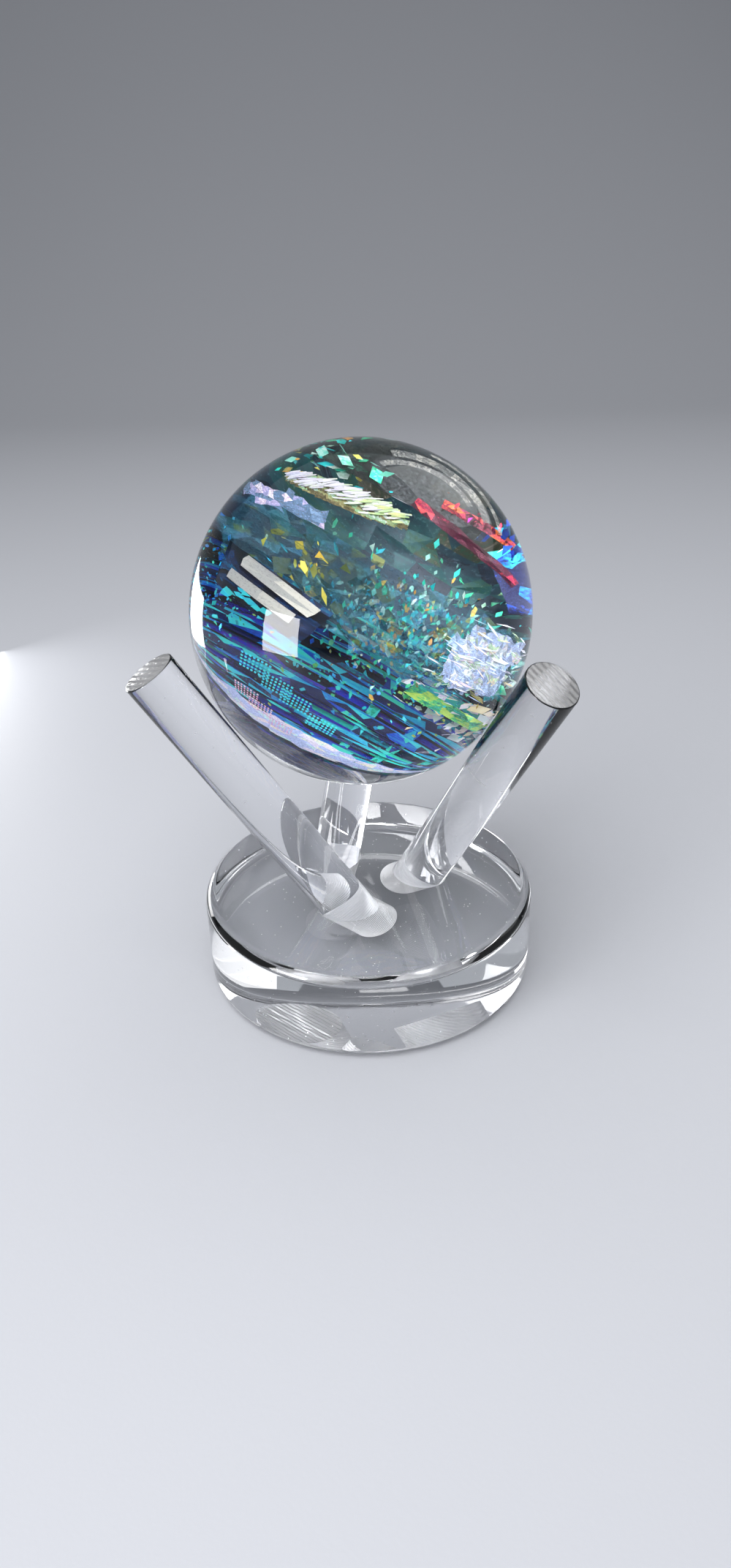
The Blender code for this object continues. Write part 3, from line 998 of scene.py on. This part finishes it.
class CRYSTALBALL_OT_chips(bpy.types.Operator):
    """Make the film chips: the large ones in their planes and the clouds of small ones"""

    bl_idname = "crystal_ball.chips"
    bl_label = "Film Chips"

    clouds = {
        "bright_flakes": Cloud(
            "green", "green_film", count=800, middle=(14, 12, -5), spread=(11, 9, 3.5),
            length=(0.35, 1.5), slender=(0.2, 0.45), lean=95, tilt=0.14, tints=(0, 1),
        ),
        "cyan_flakes": Cloud(
            "cyan", "cyan_film", count=260, middle=(6, 4, -13), spread=(20, 14, 3),
            length=(0.4, 1.3), slender=(0.3, 0.6), lean=95, tilt=0.14, tints=(0.15, 1),
        ),
        "left_flakes": Cloud(
            "cyan", "cyan_film", count=260, middle=(-31, -6, -10), spread=(5, 14, 5),
            length=(0.3, 1.0), slender=(0.3, 0.7), lean=60, tilt=0.3, tints=(0.1, 0.6),
        ),
        "pearl_needles": Cloud(
            "pearl", "pearl_film", count=130, middle=(27, -3, 4.5), spread=(4, 9, 1.2),
            length=(0.8, 2.6), slender=(0.08, 0.2), lean=5, tilt=0.25, tints=(0, 1),
        ),
        "cream_flakes": Cloud(
            "pearl", "pearl_film", count=60, middle=(25, 1, -10), spread=(6, 5, 1.5),
            length=(0.8, 2.6), slender=(0.3, 0.8), lean=60, tilt=0.3, tints=(0.2, 1),
        ),
        "gold_flakes": Cloud(
            "gold", "gold_film", count=20, middle=(-17, -18, 16), spread=(5, 3, 1.5),
            length=(0.6, 2.4), slender=(0.25, 0.5), lean=110, tilt=0.3, tints=(0.5, 1),
        ),
        "olive_facets": Cloud(
            "gold", "gold_film", count=40, middle=(-6, 17, -7), spread=(5, 5, 1),
            length=(1.8, 4.2), slender=(0.5, 0.8), lean=110, tilt=0.12, tints=(0, 0.6),
        ),
        "top_flakes": Cloud(
            "green", "green_film", count=80, middle=(-20, 17, 17), spread=(6, 4, 1.5),
            length=(0.4, 1.9), slender=(0.3, 0.7), lean=20, tilt=0.3, tints=(0.1, 1),
        ),
        "red_flakes": Cloud(
            "pink", "pink_film", count=30, middle=(11, 19.5, 18), spread=(5, 0.8, 1),
            length=(0.3, 1.1), slender=(0.2, 0.5), lean=70, tilt=0.4, tints=(0.1, 1),
        ),
        "cobalt_flakes": Cloud(
            "cyan", "cyan_film", count=26, middle=(19, 22, 17), spread=(3, 4, 2),
            length=(0.8, 2.6), slender=(0.3, 0.6), lean=70, tilt=0.4, tints=(0.05, 0.32),
        ),
        "turquoise_pieces": Cloud(
            "cyan", "cyan_film", count=10, middle=(-24, -30, 5.2), spread=(4, 2, 0.1),
            length=(1.4, 3.0), slender=(0.6, 0.9), lean=20, tilt=0.03, tints=(0.36, 0.54),
        ),
    }

    def execute(self, context):
        green = film("green_film_chips", "green")
        gold = film("gold_film_chips", "gold")
        self.flat_chips("green_chips", "film_green_chip", "green_film", green, 51)
        self.flat_chips("bright_chips", "film_bright_chip", "green_film", green, 52)
        self.flat_chips("gold_chips", "film_gold_chip", "gold_film", gold, 53)
        self.flat_chips("olive_chips", "film_olive_chip", "gold_film", gold, 54)
        first_seed = 61
        for seed, (name, cloud) in enumerate(self.clouds.items(), first_seed):
            middle, spread, length = (
                [MM * value for value in values]
                for values in (cloud.middle, cloud.spread, cloud.length)
            )
            shape = chip_cloud(
                cloud.count, middle, spread, length, cloud.slender, math.radians(cloud.lean),
                cloud.tilt, cloud.tints, seed,
            )
            shine = 0.1 if cloud.palette == "pearl" else 0.5
            material = film(f"{name}_film", cloud.palette, metallic=shine, fleck=0.1, streak=0.1)
            finish_in_ball(name, shape, [material])
        return {"FINISHED"}

    def flat_chips(self, name, nodes, slot, material, seed):
        """Stands for a field of CAD chips, each at its own place and of its own size."""
        slender = 0.7
        dice = random.Random(seed)
        shape = bmesh.new()
        members = sorted(n for n in frame["nodes"] if n.startswith(nodes))
        for node in members:
            points, centre = points_of(node)
            reach = max((p - centre).xy.length for p in points)
            turn = (
                Matrix.Rotation(dice.uniform(0, math.tau), 3, "Z")
                @ Matrix.Rotation(dice.gauss(0, 0.25), 3, "X")
            )
            sides = dice.choice((3, 4, 5))
            add_chip(shape, centre, sides, (reach, reach * slender), turn, dice.random())
        finish_in_ball(name, shape, [material], members)


# The stand


class CRYSTALBALL_OT_rods(bpy.types.Operator):
    """Make the three clear rods, polished along their sides and sawn at their ends"""

    bl_idname = "crystal_ball.rods"
    bl_label = "Acrylic Rods"

    def execute(self, context):
        edge = context.scene.acrylic_stand.rod_edge
        radius = rod_radius()
        for name in RODS:
            place, length = rod_frame(name)
            shape = bmesh.new()
            bmesh.ops.create_cone(
                shape, cap_ends=True, segments=128, radius1=radius, radius2=radius, depth=length
            )
            ends = [f for f in shape.faces if len(f.verts) > 4]
            rims = {e for f in ends for e in f.edges}
            bmesh.ops.bevel(
                shape, geom=list(rims), offset=edge, affect="EDGES", segments=3, profile=0.5,
                material=-1,
            )
            for face in shape.faces:
                if len(face.verts) > 4:
                    face.material_index = 1
            polished = acrylic(f"{name}_polished", place, 0.0)
            sawn = acrylic(f"{name}_sawn", place, 0.24, (1.5, 0.5 * MM, "DIAGONAL"), 0.1)
            finish_piece(name + "_finished", shape, name, [polished, sawn],
                         [name], smooth=True, place=place)
        return {"FINISHED"}


class CRYSTALBALL_OT_base(bpy.types.Operator):
    """Make the thick round base with its rounded rims and its three drilled sockets"""

    bl_idname = "crystal_ball.base"
    bl_label = "Acrylic Base"

    def execute(self, context):
        _, size = middle_of(("base_disc",))
        radius, height = size.x / 2, size.z
        rim = context.scene.acrylic_stand.rim_rounding
        flat = radius - rim
        # A ring of faces just inside each rim keeps its shading off the flat.
        guard = 1 * MM
        outline = (
            [(0, height), (flat - guard, height)]
            + arc((flat, height - rim), rim, 90, 0, 14)
            + arc((flat, rim), rim, 0, -90, 14)
            + [(flat - guard, 0), (0, 0)]
        )
        shape = turned(outline, 192)
        drilled = acrylic(
            "socket_drilled", rod_frame(RODS[0])[0], 0.34, (0.8, 0.15 * MM, "Z"), 0.4
        )
        base = finish_piece(
            "base_finished", shape, "stand_base",
            [acrylic("base_polished", Matrix.Identity(4), 0.0), drilled], ["base_disc"], smooth=True,
        )
        self.drill(base, height)
        return {"FINISHED"}

    def drill(self, base, height):
        """Cuts the sockets, each a little wider than its rod, and marks their walls as drilled."""
        clearance = 0.3 * MM
        radius = rod_radius() + clearance
        cutters = []
        for name in RODS:
            place, length = rod_frame(name)
            shape = bmesh.new()
            bmesh.ops.create_cone(
                shape, cap_ends=True, segments=96, radius1=radius, radius2=radius, depth=length,
                matrix=place @ Matrix.Translation((0, 0, -clearance)),
            )
            cutter = new_object(name + "_drill", shape)
            cutters.append(cutter)
            hole = base.modifiers.new(name + "_hole", "BOOLEAN")
            hole.operation = "DIFFERENCE"
            hole.object = cutter
        bpy.context.view_layer.update()
        view = bpy.context.evaluated_depsgraph_get()
        mesh = bpy.data.meshes.new_from_object(base.evaluated_get(view))
        base.modifiers.clear()
        base.data = mesh
        for cutter in cutters:
            bpy.data.objects.remove(cutter)
        frames = [rod_frame(name)[0].inverted() for name in RODS]
        reach = rod_radius() + 2 * clearance
        for face in mesh.polygons:
            inside = any((f @ face.center).xy.length < reach for f in frames)
            below_top = face.center.z < height - 0.01 * MM
            if inside and below_top:
                face.material_index = 1
        mesh.set_sharp_from_angle(angle=SHARP_ANGLE)


# The stage


def soft_light(name, place, target, size, power):
    """A rectangular light that faces its target."""
    data = bpy.data.lights.new(name, "AREA")
    data.shape = "RECTANGLE"
    data.size, data.size_y = size
    data.energy = power
    light = bpy.data.objects.new(name, data)
    bpy.context.scene.collection.objects.link(light)
    light.location = place
    direction = Vector(target) - light.location
    light.rotation_euler = direction.to_track_quat("-Z", "Y").to_euler()
    return light


class CRYSTALBALL_OT_stage(bpy.types.Operator):
    """Make the pale floor, the soft lights, the surroundings and the camera"""

    bl_idname = "crystal_ball.stage"
    bl_label = "Stage"

    def execute(self, context):
        settings = context.scene.ball_stage
        self.make_floor(settings)
        self.make_world(context, settings)
        ball = middle_of(BALL_LAYERS)[0]
        soft_light("key_softbox", (-0.62, -0.50, 0.165), ball, (0.34, 0.32), 4.8)
        soft_light("film_softbox", (0.98, 0.76, 1.06), ball, (1.2, 1.2), 3.5)
        soft_light("low_softbox", (-0.27, 0.235, 0.05), (0, 0, 0.10), (0.17, 0.11), 0.42)
        top = soft_light("top_softbox", (0.0, 0.1, 1.1), ball, (1.3, 1.3), 15)
        front = soft_light("front_softbox", (-0.30, -0.55, 0.95), ball, (1.1, 1.1), 35)
        for light in (top, front):
            light.visible_glossy = False
        context.scene.view_settings.view_transform = "Standard"
        self.make_camera(context, settings)
        return {"FINISHED"}

    def make_floor(self, settings):
        """A sheet of paper that lies flat under the stand and curves up far behind it."""
        shape = bmesh.new()
        width, front, back, rise, bend = 8.0, -4.0, 1.9, 1.6, 0.9
        bend_steps = 24
        drop = 0.2 * MM
        line = [(front, 0.0), (back - bend, 0.0)]
        line += [
            (back - bend + bend * math.sin(a), bend - bend * math.cos(a))
            for a in (math.pi / 2 * i / bend_steps for i in range(1, bend_steps + 1))
        ]
        line.append((back, rise))
        verts = [shape.verts.new((-width / 2, y, z - drop)) for y, z in line]
        edges = [shape.edges.new(pair) for pair in zip(verts, verts[1:])]
        side = bmesh.ops.extrude_edge_only(shape, edges=edges)["geom"]
        far = [item for item in side if isinstance(item, bmesh.types.BMVert)]
        bmesh.ops.translate(shape, verts=far, vec=(width, 0, 0))
        floor = new_object("floor", shape)
        floor.data.shade_smooth()
        recipe = Recipe("floor_paper")
        grain = recipe.noise(recipe.add("TexCoord").outputs["Object"], 900.0, 3.0)
        recipe.shade(
            Base_Color=(*settings.floor_colour, 1),
            Roughness=0.6,
            Normal=recipe.bump(grain, 0.15, 0.2 * MM),
        )
        floor.data.materials.append(recipe.material)

    def make_world(self, context, settings):
        world = bpy.data.worlds.new("studio")
        world.use_nodes = True
        background = world.node_tree.nodes["Background"]
        background.inputs["Color"].default_value = (*settings.surroundings, 1)
        context.scene.world = world

    def make_camera(self, context, settings):
        data = bpy.data.cameras.new("camera")
        data.lens = settings.camera_lens
        data.clip_start = 0.01
        camera = bpy.data.objects.new("camera", data)
        context.scene.collection.objects.link(camera)
        camera.matrix_world = (
            Matrix.Translation((0, -settings.camera_distance, settings.camera_height))
            @ Matrix.Rotation(math.pi / 2 - settings.camera_pitch, 4, "X")
            @ Matrix.Rotation(-settings.camera_roll, 4, "Z")
        )
        context.scene.camera = camera


class CRYSTALBALL_PT_sidebar(bpy.types.Panel):
    """Lists the settings and the pieces"""

    bl_idname = "CRYSTALBALL_PT_sidebar"
    bl_label = "Crystal Ball"
    bl_space_type = "VIEW_3D"
    bl_region_type = "UI"
    bl_category = "Crystal Ball"

    def draw(self, context):
        scene = context.scene
        for group in (scene.crystal_ball, scene.acrylic_stand, scene.ball_stage):
            box = self.layout.box()
            for name in group.__annotations__:
                box.prop(group, name)
        for operator in OPERATORS:
            self.layout.operator(operator.bl_idname)


OPERATORS = (
    CRYSTALBALL_OT_stage,
    CRYSTALBALL_OT_base,
    CRYSTALBALL_OT_rods,
    CRYSTALBALL_OT_resin,
    CRYSTALBALL_OT_lattice,
    CRYSTALBALL_OT_backing,
    CRYSTALBALL_OT_veils,
    CRYSTALBALL_OT_feather,
    CRYSTALBALL_OT_ribbons,
    CRYSTALBALL_OT_chips,
)
SETTINGS = {
    "crystal_ball": BallSettings,
    "acrylic_stand": StandSettings,
    "ball_stage": StageSettings,
}
CLASSES = (*SETTINGS.values(), *OPERATORS, CRYSTALBALL_PT_sidebar)


def register():
    for cls in CLASSES:
        bpy.utils.register_class(cls)
    for name, cls in SETTINGS.items():
        setattr(bpy.types.Scene, name, bpy.props.PointerProperty(type=cls))


def unregister():
    for name in SETTINGS:
        delattr(bpy.types.Scene, name)
    for cls in reversed(CLASSES):
        bpy.utils.unregister_class(cls)


def main():
    register()
    for operator in OPERATORS:
        group, name = operator.bl_idname.split(".")
        getattr(getattr(bpy.ops, group), name)()


if __name__ == "__main__":
    main()
